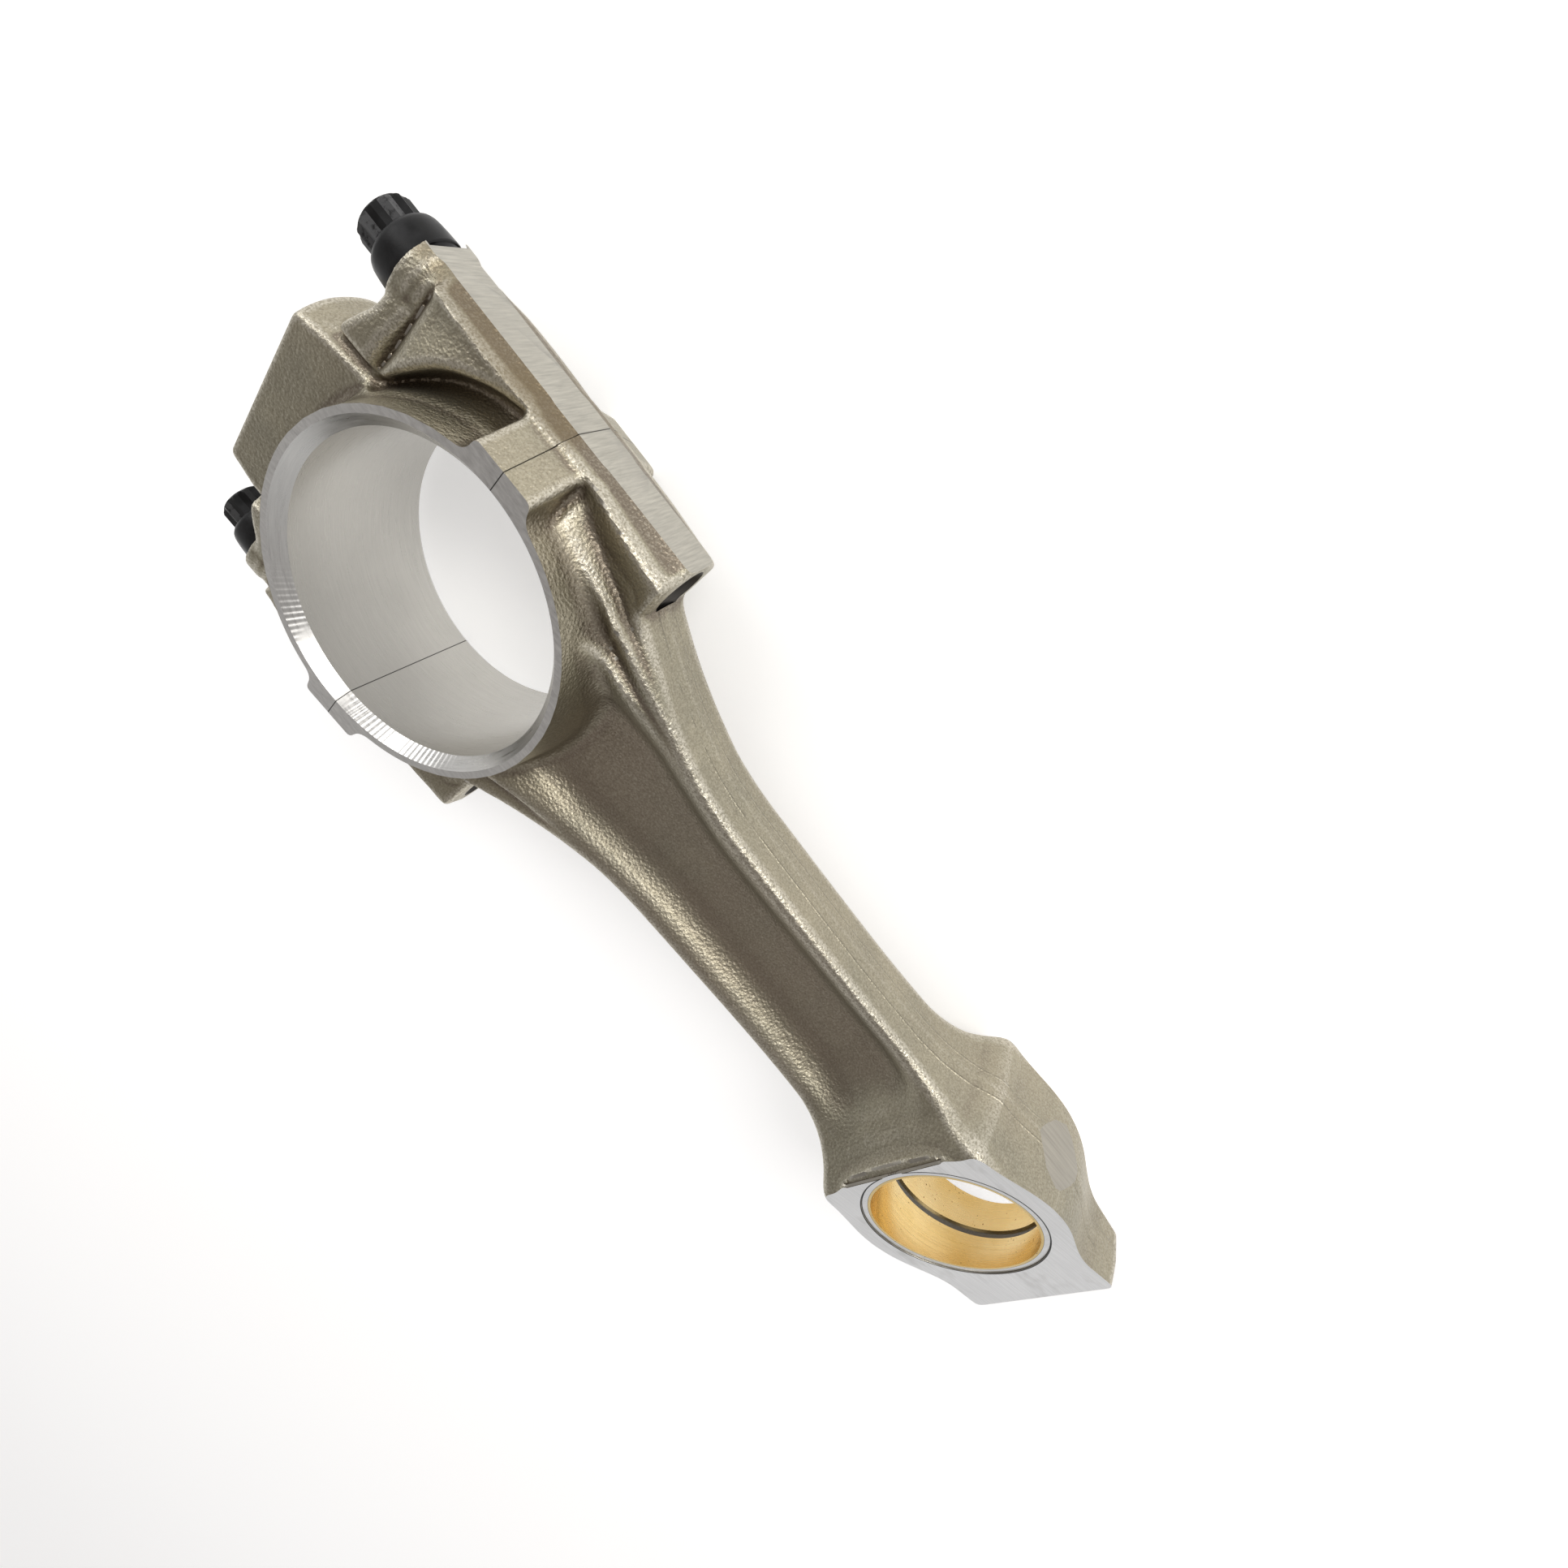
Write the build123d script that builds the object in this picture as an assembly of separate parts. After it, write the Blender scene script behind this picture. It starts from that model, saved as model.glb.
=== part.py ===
from build123d import *
from math import radians, sqrt, tan
import os

# A heavy diesel connecting rod, lying flat, in millimetres.
# Origin: the centre of the crank bore, at the middle of its width.
# +X points at the small end, +Z is the bore axis and +Y completes the frame.
# The cap is cracked off the forging at the plane X = 0 and held by two screws along X.

# Overall sizes
centre_distance = 268.0      # crank bore to pin bore
big_end_width = 62.0         # across the two machined ring faces
flank_width = 142.0          # across the two milled bands
small_end_width = 41.4       # across the tapered faces at the pin axis
taper_angle = 12.8           # of each small-end face

# Big end
crank_bore_d = 100.0
bore_chamfer_front = (3.5, 4.5)   # radial, axial
bore_chamfer_rear = (1.6, 2.0)
ring_wall = 6.0              # from bore to the forged outside of the ring
pad_length = 11.0            # of each raised pad beside the joint face
pad_overhang = 4.7           # how far a pad stands out past the ring face edge
band_half_height = 6.2       # of the milled band, at a pad
draft_angle = 5.7            # of the forging

# Cap
tower_top = 80.5             # from the bore axis to the end of the balance pad
tower_half_width = 33.9      # at its end, at mid height
tower_root_half_width = 39.0 # where it meets the ring
tower_half_height = 17.8
tower_chamfer = (5.0, 9.0)   # of its long edges: across, in height
notch_floor_x = 60.0         # the web between tower and screw boss
notch_half_height = 14.0

# Cap screws
screw_spacing = 120.0
thread_d = 14.0
thread_clearance = 0.05      # radial, in the rod
shank_d = 13.2
cap_hole_clearance = 0.5     # radial, over the thread
seat_x = 60.6                # under the head, from the joint face
boss_end_x = 46.6            # of the rod's bosses, from the joint face
boss_wall = 5.75             # round the thread
thread_start = 4.0           # from the joint face into the rod
tip_gap = 2.1                # the screw ends this far inside the boss end
flange_d = 23.8
flange_height = 9.2
collar_d = 21.0
collar_height = 3.0
spline_flats = 15.3          # across the flats of each hexagon
spline_height = 8.2
head_clearance = 1.0         # radial, between flange and the cap's notch

# Small end
pin_bore_d = 57.0
bush_bronze = 0.9
bush_steel = 2.1
bush_recess = 0.5            # the bush ends this far below the tapered faces
eye_wall = 9.1               # round the bush, at mid height
tip_pad_half_width = 29.3
tip_pad_end = 49.5           # from the pin axis
face_start = 31.2            # the tapered faces begin this far before the pin axis
groove_width = 3.2
groove_depth = bush_bronze
gallery_d = 5.0              # drilled from crank bore to bush
spot_depth = 1.3             # of the round clamping flats beside the eye

# Shank: half widths at stations between the ends
shank_stations = [(46.6, 53.0), (60.0, 45.3), (76.0, 37.5), (94.0, 31.6), (120.0, 28.2)]
shank_waist = (175.0, 26.4)
shank_small_end = [(208.0, 26.6), (224.0, 29.4), (240.0, 36.5)]
shank_half_height = 14.0
shank_root_x = 74.0          # where the shank reaches its own height
shoulder_start = 40.0        # the small end starts to thicken, before face_start
web = 10.0
channel_wall = 13.2          # flange thickness beside the channel floor
channel_draft = 40.0
channel_end = 42.0           # before the pin axis

big_r = crank_bore_d / 2
ring_r = big_r + ring_wall
half_w = big_end_width / 2
flank_y = flank_width / 2
screw_y = screw_spacing / 2
boss_r = thread_d / 2 + boss_wall
pin_r = pin_bore_d / 2
seat_r = pin_r + bush_bronze + bush_steel
eye_r = seat_r + eye_wall
pad_y = ring_r + pad_overhang
pin_half = small_end_width / 2
tall = big_end_width + 40    # longer than any piece is high
far = centre_distance + big_end_width


def cylinder_x(radius, x0, x1, y):
    """A cylinder along X at mid height."""
    return Pos((x0 + x1) / 2, y, 0) * Rot(0, 90, 0) * Cylinder(radius, abs(x1 - x0))


def prism_x(points, x0, x1):
    """A solid with the outline points, which are (y, z), between two values of x."""
    face = make_face(Polyline(*[(x0, y, z) for y, z in points], close=True))
    return extrude(face, amount=x1 - x0, dir=(1, 0, 0))


def plan_prism(face, half_height):
    """A plan face made into a slab centred on mid height."""
    return extrude(Pos(0, 0, -half_height) * face, amount=2 * half_height)


def loft_x(sections):
    """A ruled solid through outlines of (y, z) points, each at its own x."""
    faces = [make_face(Polyline(*[(x, y, z) for y, z in pts], close=True)) for x, pts in sections]
    return loft(faces, ruled=True)


def mirrored(points):
    """A half outline at z > 0, closed by its reflection in z."""
    return points + [(y, -z) for y, z in reversed(points)]


def both_sides(solid):
    return solid + mirror(solid, Plane.XZ)


def half_space_x(sign):
    """Everything on one side of the joint face."""
    return Pos(sign * far, 0, 0) * Box(2 * far, 2 * far, tall)


def drafted_cylinder(radius, half_height, x):
    """A forged eye, widest at the parting plane."""
    drop = half_height * tan(radians(draft_angle))
    half = Cone(radius, radius - drop, half_height, align=(Align.CENTER, Align.CENTER, Align.MIN))
    return Pos(x, 0, 0) * (half + mirror(half, Plane.XY))


def taper_height(x):
    """Half the width between the tapered faces at a distance x from the pin axis."""
    return pin_half - x * tan(radians(taper_angle))


def taper_wedge(inset):
    """The space between the two tapered faces, drawn in by an inset."""
    x0 = -centre_distance
    x1 = 3 * tip_pad_end
    top = [(x0, taper_height(x0) - inset), (x1, taper_height(x1) - inset)]
    outline = [top[0], top[1], (x1, -top[1][1]), (x0, -top[0][1])]
    face = make_face(Polyline(*[(centre_distance + x, -far, z) for x, z in outline], close=True))
    return extrude(face, amount=2 * far, dir=(0, 1, 0))


def crank_bore():
    """The bore and its two chamfers, as one cutter."""
    radial, axial = bore_chamfer_front
    radial_b, axial_b = bore_chamfer_rear
    slope = radial / axial
    slope_b = radial_b / axial_b
    over = 1.0
    front = Pos(0, 0, half_w - axial) * Cone(
        big_r, big_r + radial + slope * over, axial + over, align=(Align.CENTER, Align.CENTER, Align.MIN))
    rear = Pos(0, 0, -half_w - over) * Cone(
        big_r + radial_b + slope_b * over, big_r, axial_b + over,
        align=(Align.CENTER, Align.CENTER, Align.MIN))
    return Cylinder(big_r, tall) + front + rear


def joint_pads():
    """The raised pads beside the joint face, on both sides of it."""
    half = [(big_r, half_w), (pad_y, half_w), (flank_y, band_half_height)]
    return both_sides(prism_x(mirrored(half), -pad_length, pad_length))


def screw_columns(x0, x1):
    """The bosses round the screws, flattened where the band is milled."""
    column = cylinder_x(boss_r, x0, x1, screw_y)
    keep = Pos((x0 + x1) / 2, 0, 0) * Box(2 * far, flank_width, tall)
    return both_sides(column & keep)


def cap_buttresses():
    """The slanted fronts that carry the screw bosses down to the joint pads."""
    top = [(screw_y - boss_r, boss_r), (screw_y, boss_r), (flank_y - 4, 0.8 * boss_r), (flank_y, 4.0)]
    foot = [(big_r - 2, half_w - 5), (pad_y - 1.5, half_w - 5), (flank_y - 3, 13.0), (flank_y, 5.5)]
    shape = loft_x([(-seat_x + boss_r / 2, mirrored(top)), (-pad_length, mirrored(foot))])
    return both_sides(shape)


def tower():
    """The balance pad on the cap, lower than the ring faces, with its long edges bevelled."""
    across, down = tower_chamfer
    sections = []
    for x, half in ((-tower_top, tower_half_width), (-big_r, tower_root_half_width)):
        corners = [(half, tower_half_height - down), (half - across, tower_half_height)]
        upper = corners + [(-y, z) for y, z in reversed(corners)]
        sections.append((x, upper + [(-y, -z) for y, z in upper]))
    return loft_x(sections)


def notch_web():
    """The web between tower and screw bosses, at the foot of the socket clearance."""
    outline = [(0, 0), (-notch_floor_x, 0), (-notch_floor_x, screw_y), (0, screw_y)]
    half = make_face(Polyline(*outline, close=True))
    return both_sides(plan_prism(half, notch_half_height))


def socket_clearance():
    """What the screw flange and a socket need beside the tower."""
    return both_sides(cylinder_x(flange_d / 2 + head_clearance, -seat_x, -seat_x - tall, screw_y))


def cap_screw_holes():
    return both_sides(cylinder_x(thread_d / 2 + cap_hole_clearance, -far, 1.0, screw_y))


def make_cap():
    ring = Cylinder(ring_r, big_end_width)
    body = ring + joint_pads() + screw_columns(-seat_x, 0) + cap_buttresses() + tower() + notch_web()
    body = body & half_space_x(-1)
    body = body & Box(2 * far, flank_width, big_end_width)
    body = body - socket_clearance() - crank_bore() - cap_screw_holes()
    return body


def shank_outline():
    """The plan of the shank, from the joint face into the small end."""
    upper = shank_stations + [shank_waist] + shank_small_end
    side = Spline(*upper)
    end_x, end_y = upper[-1]
    start_x, start_y = upper[0]
    eye = centre_distance
    other = mirror(side, Plane.XZ)
    closing = [
        Line((end_x, end_y), (eye, end_y)),
        Line((eye, end_y), (eye, -end_y)),
        Line((eye, -end_y), (end_x, -end_y)),
        Line((start_x, -start_y), (0, -start_y)),
        Line((0, -start_y), (0, start_y)),
        Line((0, start_y), (start_x, start_y)),
    ]
    return make_face(Curve() + [side, other] + closing)


def shank_side_profile():
    """How high the shank stands along its length: ring, beam, then the small end."""
    face_x = centre_distance - face_start
    top = taper_height(-face_start)
    outline = [
        (0, half_w - 2),
        (ring_r - 2, half_w - 2),
        (ring_r + 4, shank_half_height + 5),
        (shank_root_x, shank_half_height),
        (face_x - shoulder_start, shank_half_height),
        (face_x - shoulder_start / 3, shank_half_height + 4.5),
        (face_x, top),
        (centre_distance + tip_pad_end, top),
    ]
    points = outline + [(x, -z) for x, z in reversed(outline)]
    face = make_face(Polyline(*[(x, -far, z) for x, z in points], close=True))
    return extrude(face, amount=2 * far, dir=(0, 1, 0))


def channel():
    """One hollow of the I-beam, with forging draft, cut down to the web."""
    x0 = ring_r + 3.0
    x1 = centre_distance - channel_end
    w0 = shank_stations[2][1] - channel_wall - 5.0
    w1 = shank_waist[1] - channel_wall
    w2 = shank_small_end[0][1] - channel_wall - 3.0
    waist_x = shank_waist[0]
    outline = [(x0, -w0), (waist_x, -w1), (x1, -w2), (x1, w2), (waist_x, w1), (x0, w0)]
    face = make_face(Polyline(*outline, close=True))
    face = fillet(face.vertices(), 5.0)
    depth = half_w
    return Pos(0, 0, web / 2) * extrude(face, amount=depth, taper=-channel_draft)


def rod_shoulders():
    """The forged webs that carry the screw bosses into the shank."""
    end = [(ring_r - 14, 20.0), (screw_y - 3, 19.5), (screw_y + 3.5, 17.5), (flank_y, 6.5)]
    foot = [(big_r - 2, half_w - 7), (pad_y - 4, half_w - 9.5), (flank_y - 6, 13.5), (flank_y, 5.0)]
    shape = loft_x([(pad_length - 1, mirrored(foot)), (boss_end_x, mirrored(end))])
    return both_sides(shape)


def small_end():
    """The eye with its square tip pad."""
    eye = drafted_cylinder(eye_r, taper_height(-face_start), centre_distance)
    x0 = centre_distance
    x1 = centre_distance + tip_pad_end
    pad = Pos((x0 + x1) / 2, 0, 0) * Box(x1 - x0, 2 * tip_pad_half_width, small_end_width)
    return eye + pad


def clamping_spots():
    """The flats milled on both sides of the eye."""
    y = eye_r - spot_depth + far / 2
    return both_sides(Pos(centre_distance, y, 0) * Box(2 * eye_r, far, tall))


def rod_screw_holes():
    tapped = cylinder_x(thread_d / 2 + thread_clearance, -1.0, far, screw_y)
    lead_in = cylinder_x(thread_d / 2 + cap_hole_clearance, -1.0, thread_start, screw_y)
    return both_sides(tapped + lead_in)


def oil_gallery():
    """The drilling from the crank bore to the groove of the bush."""
    return cylinder_x(gallery_d / 2, big_r - 5, centre_distance - pin_r + 2, 0)


def make_rod():
    beam = plan_prism(shank_outline(), half_w) & shank_side_profile()
    beam = beam - channel() - mirror(channel(), Plane.XY)
    ring = Cylinder(ring_r, big_end_width)
    body = ring + joint_pads() + screw_columns(0, boss_end_x) + rod_shoulders() + beam
    body = body & half_space_x(1)
    body = body & Box(2 * far, flank_width, big_end_width)
    body = body + (small_end() - clamping_spots())
    body = body & (taper_wedge(0) + Box(2 * (centre_distance - face_start), far, tall))
    seat = Pos(centre_distance, 0, 0) * Cylinder(seat_r, tall)
    return body - crank_bore() - rod_screw_holes() - seat - oil_gallery()


def make_bush(outer_r, inner_r):
    """One layer of the pin bush, cut to the same taper as the eye."""
    tube = Pos(centre_distance, 0, 0) * (Cylinder(outer_r, tall) - Cylinder(inner_r, tall))
    return (tube & taper_wedge(bush_recess)) - oil_gallery()


def oil_groove():
    """The ring groove turned in the bronze down to the steel."""
    return Pos(centre_distance, 0, 0) * Cylinder(pin_r + groove_depth, groove_width)


def make_screw(y):
    """One cap screw: twelve-point head, skirted flange, necked shank and threaded end."""
    top = -seat_x - flange_height - collar_height - spline_height
    corner_r = spline_flats / sqrt(3)
    hexagon = RegularPolygon(corner_r, 6)
    star = Sketch() + [hexagon, Rot(0, 0, 30) * hexagon]
    spline = Pos(top, y, 0) * Rot(0, 90, 0) * extrude(star, amount=spline_height + 0.5)
    spline = spline & Pos(top, y, 0) * Rot(0, 90, 0) * Cone(
        corner_r - 1.2, corner_r + 20, 30, align=(Align.CENTER, Align.CENTER, Align.MIN))
    tip = boss_end_x - tip_gap
    r_flange = flange_d / 2
    r_collar = collar_d / 2
    r_shank = shank_d / 2
    r_thread = thread_d / 2
    collar_x = -seat_x - flange_height - collar_height
    outline = [
        (collar_x, 0),
        (collar_x, r_collar - 1.0),
        (collar_x + 1.0, r_collar),
        (collar_x + collar_height, r_collar + 0.3),
        (-seat_x - 2.2, r_flange - 0.5),
        (-seat_x - 1.0, r_flange),
        (-seat_x, r_flange - 1.0),
        (-seat_x, r_shank),
        (thread_start - 1.5, r_shank),
        (thread_start, r_thread),
        (tip - 1.5, r_thread),
        (tip, r_thread - 1.5),
        (tip, 0),
    ]
    face = make_face(Polyline(*[(x, r, 0) for x, r in outline], close=True))
    turned = Pos(0, y, 0) * revolve(face, Axis.X)
    return turned + spline


def write(name, shape):
    shape.label = name
    export_step(shape, os.path.join("parts", name + ".step"))


def main():
    os.makedirs("parts", exist_ok=True)
    bronze_r = pin_r + bush_bronze
    write("rod_forging", make_rod())
    write("rod_cap", make_cap())
    write("cap_screw_right", make_screw(screw_y))
    write("cap_screw_left", make_screw(-screw_y))
    write("pin_bush_backing", make_bush(seat_r, bronze_r))
    write("pin_bush_lining", make_bush(bronze_r, pin_r) - oil_groove())


main()
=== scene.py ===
from math import atan2, cos, pi, radians, sin, tan

import bmesh
import bpy
import numpy as np
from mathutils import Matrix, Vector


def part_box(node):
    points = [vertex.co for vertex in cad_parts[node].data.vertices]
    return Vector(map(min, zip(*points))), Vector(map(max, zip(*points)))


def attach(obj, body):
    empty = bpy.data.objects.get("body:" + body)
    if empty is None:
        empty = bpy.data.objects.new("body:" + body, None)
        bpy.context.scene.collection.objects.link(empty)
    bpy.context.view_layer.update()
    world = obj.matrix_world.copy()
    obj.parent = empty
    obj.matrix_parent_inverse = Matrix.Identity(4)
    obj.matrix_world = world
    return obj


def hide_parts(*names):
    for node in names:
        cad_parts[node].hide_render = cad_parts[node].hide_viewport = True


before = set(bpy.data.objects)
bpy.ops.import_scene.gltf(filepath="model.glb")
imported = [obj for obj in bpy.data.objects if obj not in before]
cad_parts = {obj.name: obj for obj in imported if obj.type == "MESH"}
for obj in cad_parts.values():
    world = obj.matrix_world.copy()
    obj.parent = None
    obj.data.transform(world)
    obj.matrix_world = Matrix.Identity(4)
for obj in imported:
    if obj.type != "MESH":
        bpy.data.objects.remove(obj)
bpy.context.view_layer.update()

import openvdb
from mathutils import Matrix, Vector

MM = 0.001               # every size below is in millimetres

# ---------------------------------------------------------------- sizes read from the frame


def node_box(name):
    """The corners of a CAD node's box, in millimetres."""
    low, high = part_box(name)
    return np.array(low) / MM, np.array(high) / MM


_, ROD_HIGH = node_box("rod_forging")
CAP_LOW, _ = node_box("rod_cap")
SCREW_LOW, SCREW_HIGH = node_box("cap_screw_right")
BUSH_LOW, BUSH_HIGH = node_box("pin_bush_backing")
LINING_LOW, LINING_HIGH = node_box("pin_bush_lining")

HALF_WIDTH = ROD_HIGH[2]                       # to each machined ring face
FLANK_Y = ROD_HIGH[1]                          # to each milled band
PIN_X = (BUSH_LOW[0] + BUSH_HIGH[0]) / 2
SEAT_R = (BUSH_HIGH[1] - BUSH_LOW[1]) / 2      # outside of the bush
BRONZE_R = (LINING_HIGH[1] - LINING_LOW[1]) / 2
TIP_X = ROD_HIGH[0]
SCREW_Y = round((SCREW_LOW[1] + SCREW_HIGH[1]) / 2, 1)
SCREW_TOP = SCREW_LOW[0]
SCREW_TIP = SCREW_HIGH[0]
FLANGE_R = (SCREW_HIGH[1] - SCREW_LOW[1]) / 2
CAP_TOP = -CAP_LOW[0]

# Big end
BORE_R = 50.0
CHAMFER_FRONT = (3.5, 4.5)     # radial, axial
CHAMFER_REAR = (1.6, 2.0)
RING_R = 56.0                  # outside of the ring, at its faces
DRAFT = 0.1                    # slope of every forged wall
SEAT_X = 60.6                  # under the screw heads
BOSS_END = 46.6                # where the rod's screw bosses stop
COLUMN_R = 12.75
PAD_LENGTH = 11.0
PAD_EDGE_Y = 60.7
BAND_HALF = 6.2
THREAD_R = 7.0
HOLE_GAP = 0.5                 # round the screws, where they pass freely
THREAD_GAP = 0.05              # round the screws, where they hold

# Small end
TAPER = radians(12.8)
PIN_HALF = 20.7                # half width between the tapered faces at the pin axis
FACE_START = PIN_X - 31.2
EYE_R = 40.6
TIP_HALF = 29.3
SPOT_Y = 39.3
GALLERY_R = 2.5

FAR = 90.0                     # well outside the part
PROUD = 2.0                    # forged skin left outside a face that is machined later


def taper_height(x):
    """Height of the tapered face above mid width."""
    return PIN_HALF - (x - PIN_X) * tan(TAPER)


# ---------------------------------------------------------------- smooth solids by formula


def smin(a, b, k):
    """The smaller of two distances, with a fillet about k wide between them."""
    h = np.clip(0.5 + 0.5 * (b - a) / k, 0.0, 1.0)
    return b + (a - b) * h - k * h * (1.0 - h)


def smax(a, b, k):
    """The larger of two distances, with the same kind of fillet."""
    return -smin(-a, -b, k)


def step(x, low, high):
    """0 below low, 1 above high, smooth between."""
    t = np.clip((x - low) / (high - low), 0.0, 1.0)
    return t * t * (3.0 - 2.0 * t)


def along(x, *points):
    """A smooth curve through (x, value) points, level before the first and after the last."""
    xs = np.array([p[0] for p in points], float)
    ys = np.array([p[1] for p in points], float)
    slopes = np.zeros(len(xs))
    slopes[1:-1] = (ys[2:] - ys[:-2]) / (xs[2:] - xs[:-2])
    x = np.clip(x, xs[0], xs[-1])
    i = np.clip(np.searchsorted(xs, x) - 1, 0, len(xs) - 2)
    span = xs[i + 1] - xs[i]
    t = (x - xs[i]) / span
    return (ys[i] * (1 + 2 * t) * (1 - t) ** 2 + ys[i + 1] * t * t * (3 - 2 * t)
            + span * slopes[i] * t * (1 - t) ** 2 - span * slopes[i + 1] * t * t * (1 - t))


def ridges(x, a, lines):
    """A height over the plan, led by lines of (x, y, height) points, innermost first."""
    curves = [(along(x, *[(p[0], p[1]) for p in line]), along(x, *[(p[0], p[2]) for p in line]))
              for line in lines]
    level = curves[0][1] + 0.0 * a
    for (last_place, last_height), (place, height) in zip(curves, curves[1:]):
        level = level + (height - last_height) * step(a, last_place, place)
    return level


def ring_field(x, a, h):
    """The wall round the crank bore."""
    r = np.hypot(x, a)
    return np.maximum(r - RING_R - DRAFT * (HALF_WIDTH - h), h - HALF_WIDTH - PROUD)


def pad_field(u, a, h):
    """The raised pad beside the joint face; u is the distance from that face."""
    rise = HALF_WIDTH - BAND_HALF
    out = FLANK_Y - PAD_EDGE_Y
    slant = (rise * (a - PAD_EDGE_Y) + out * (h - HALF_WIDTH)) / np.hypot(rise, out)
    return smax(slant, u - PAD_LENGTH, 2.2)


def column_field(u, a, h, end):
    """The round boss about one screw, up to end from the joint face."""
    round_part = np.hypot(a - SCREW_Y, h) - COLUMN_R
    return smax(round_part, u - end, 2.5)


# Crests and valleys of the rod's shoulder, seen from the front: x, y, height
SHOULDER = [
    # beside the channel
    [(11, 40, 18), (30, 36, 18), (40, 32, 17.4), (50, 28, 15.8), (60, 25, 15), (72, 22, 14.6),
     (88, 18, 14)],
    # inner ridge
    [(11, 46, 21), (28, 41, 20.5), (36, 38.8, 19.8), (45, 36.6, 18.8), (54, 34.6, 17.6),
     (62, 32.6, 16.6), (72, 30.8, 15.4), (88, 29, 14.2)],
    # inner valley
    [(11, 49.4, 17.5), (20, 45.8, 16.3), (26, 44, 15.9), (32, 42.6, 15.7), (39, 41.4, 15.5),
     (50, 38.6, 15), (60, 36, 14.8), (72, 33.6, 14.4), (88, 31, 14)],
    # middle ridge
    [(11, 59.4, 18.2), (16.5, 56.2, 18.2), (28, 52.4, 18.2), (38.5, 49.2, 18), (45, 46.6, 17.7),
     (52, 43.8, 16.9), (60, 40.4, 15.8), (70, 36.8, 14.8), (88, 32.4, 14.1)],
    # outer valley
    [(11, 65.6, 14.2), (15.5, 64, 14.2), (21.6, 60.2, 14), (32, 55.4, 13.6), (41.6, 51, 13.3),
     (48, 48, 13.3), (56, 45, 13.5), (64, 42, 13.7), (76, 37.6, 13.9), (88, 34.8, 14)],
    # outer ridge, over the screw
    [(11, 68.4, 14), (20, 67.6, 15), (27, 66.8, 15.8), (38, 65.4, 16.4), (47, 64.2, 16.8),
     (88, 50, 14)],
    # edge of the band
    [(11, 71.6, 5.8), (47, 71.6, 6.4), (88, 71.6, 6.4)],
]

# The slanted face of the cap's buttress in the same way: distance from the joint, y, height
BUTTRESS = [
    [(8, 57, 19), (20, 60, 17), (28, 59.5, 17.4), (36, 55, 18.3), (42, 47.5, 19), (47, 40, 19),
     (51, 37, 18.6)],
    [(8, 67.6, 14.8), (20, 67.6, 15.4), (30, 67.6, 15.6), (40, 67.6, 15), (50, 67.0, 13.8)],
    [(8, 71.4, 6), (56, 71.4, 6)],
]


def flank_width(x):
    """Half the width of the shank at mid height."""
    return along(x, (40, 60.0), (46.6, 54.5), (50, 51.6), (56, 48.2), (64, 44.0), (72, 40.2),
                 (80, 37.0), (88, 34.3), (96, 31.9), (104, 30.4), (114, 29.3), (128, 28.7),
                 (145, 28.1), (165, 27.5), (185, 27.1), (205, 27.4), (214, 28.2), (222, 29.8),
                 (230, 32.6), (240, 37.5))


def crest_height(x):
    """Half the height of the shank's flanges towards the small end."""
    return along(x, (90, 14.0), (205, 14.0), (215, 15.4), (224, 18.6), (231, 23.2), (238, 27.6),
                 (246, 28.5))


def floor_height(x):
    """Half the height left between the two channels."""
    return along(x, (60, 5.0), (198, 5.0), (207, 6.4), (215, 9.8), (223, 17.0), (229.5, 23.6),
                 (236, 27.4), (244, 28.5))


def channel_field(x, a, h):
    """Negative inside the channel of the I-beam."""
    wall = radians(47)
    width = along(x, (60, 18.6), (78, 18.8), (94, 16.6), (113, 13.9), (131, 13.2), (176, 13.0),
                  (200, 13.2), (212, 14.2), (222, 14.5), (232, 14.0))
    plan = smax(a - width, 55.0 - x, 15.0)
    rise = h - floor_height(x)
    side = plan * sin(wall) - np.maximum(rise, -3.0) * cos(wall)
    return smax(side, -rise, 5.0)


def rod_field(x, y, z):
    """Distance to the forged skin of the rod, before machining."""
    a = np.abs(y)
    h = np.abs(z)
    # the top of the forging, with a dip along the foot of the pad
    pad_foot = 2.2 * np.exp(-((x - 12.2) / 2.2) ** 2) * step(-a, -68.0, -60.0)
    top = ridges(x, a, SHOULDER) - pad_foot
    top = top + (crest_height(x) - top) * step(x, 70.0, 92.0)
    # the shank and the shoulder
    side = a - flank_width(x) + DRAFT * h
    slope = 0.75 + 0.25 * step(x, 60.0, 90.0) - 0.35 * step(x, 214.0, 232.0)
    beam = smax(side, (h - top) * slope, 3.4)
    boss_end = BOSS_END + 0.6
    shoulder = np.maximum((h - top) * 0.75, a - FLANK_Y - PROUD)
    shoulder = smax(shoulder, x - boss_end, 2.0)
    body = smin(beam, shoulder, 1.2)
    body = smax(body, -channel_field(x, a, h), 3.6)
    body = smin(body, column_field(x, a, h, boss_end), 1.5)
    body = smin(body, pad_field(x, a, h), 1.6)
    body = smin(body, ring_field(x, a, h), 5.5)
    # the small end: a round eye and the tip beyond it
    eye = smax(np.hypot(x - PIN_X, a) - (EYE_R - DRAFT * h), FACE_START - 4.0 - x, 6.0)
    tip_end = PIN_X + 48.3 + 1.2 * (1.0 - (h / 17.0) ** 2)
    tip = smax(a - TIP_HALF + 0.5 * DRAFT * h, x - tip_end, 3.0)
    tip = np.maximum(tip, PIN_X - x)
    small = np.maximum(smin(eye, tip, 7.0), h - taper_height(x) - PROUD)
    body = smin(smax(body, x - PIN_X, 1.0), small, 4.0)
    # the shallow relief between the shank and the tapered face
    recess = np.maximum(np.hypot(x - PIN_X, a) - 38.4, 26.9 - h)
    return smax(body, -np.maximum(recess, x - FACE_START), 0.3)


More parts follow.
